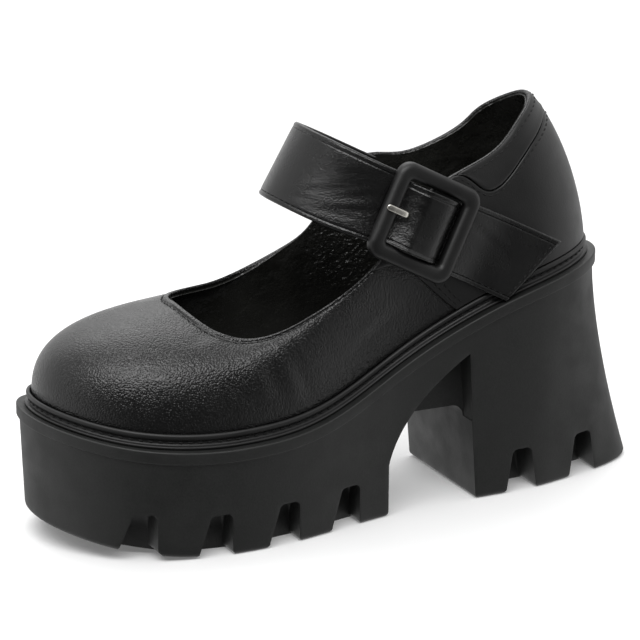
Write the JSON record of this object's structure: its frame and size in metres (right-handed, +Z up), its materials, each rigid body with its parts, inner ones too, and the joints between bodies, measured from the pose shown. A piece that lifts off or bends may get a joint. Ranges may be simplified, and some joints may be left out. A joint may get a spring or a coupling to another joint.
{
  "type": "platform shoe",
  "caption": "Left shoe with a closed round toe, low cut throat, wide buckled instep strap, and a lugged platform sole with a high block heel.",
  "frame": {"origin": "on the floor, at the middle of the flat underside of the heel's middle lug", "axes": "+X to the toe, +Y to the shoe's outer side, +Z up"},
  "size_m": [0.2669, 0.0956, 0.1609],
  "materials": {
    "sole_rubber": "matt black moulded sole",
    "rand_strip": "satin black",
    "upper_leather": "semi-matt black with fine grain",
    "insole_cover": "black lining leather",
    "strap_leather": "semi-matt black with fine grain",
    "buckle_cover": "matt black",
    "prong_metal": "polished"
  },
  "bodies": {
    "root": {"outsole": "sole_rubber", "rand": "rand_strip", "upper": "upper_leather", "quarter": "upper_leather", "collar_band": "upper_leather", "insole": "insole_cover", "strap": "strap_leather", "buckle_frame": "buckle_cover", "buckle_prong": "prong_metal"}
  },
  "joints": []
}
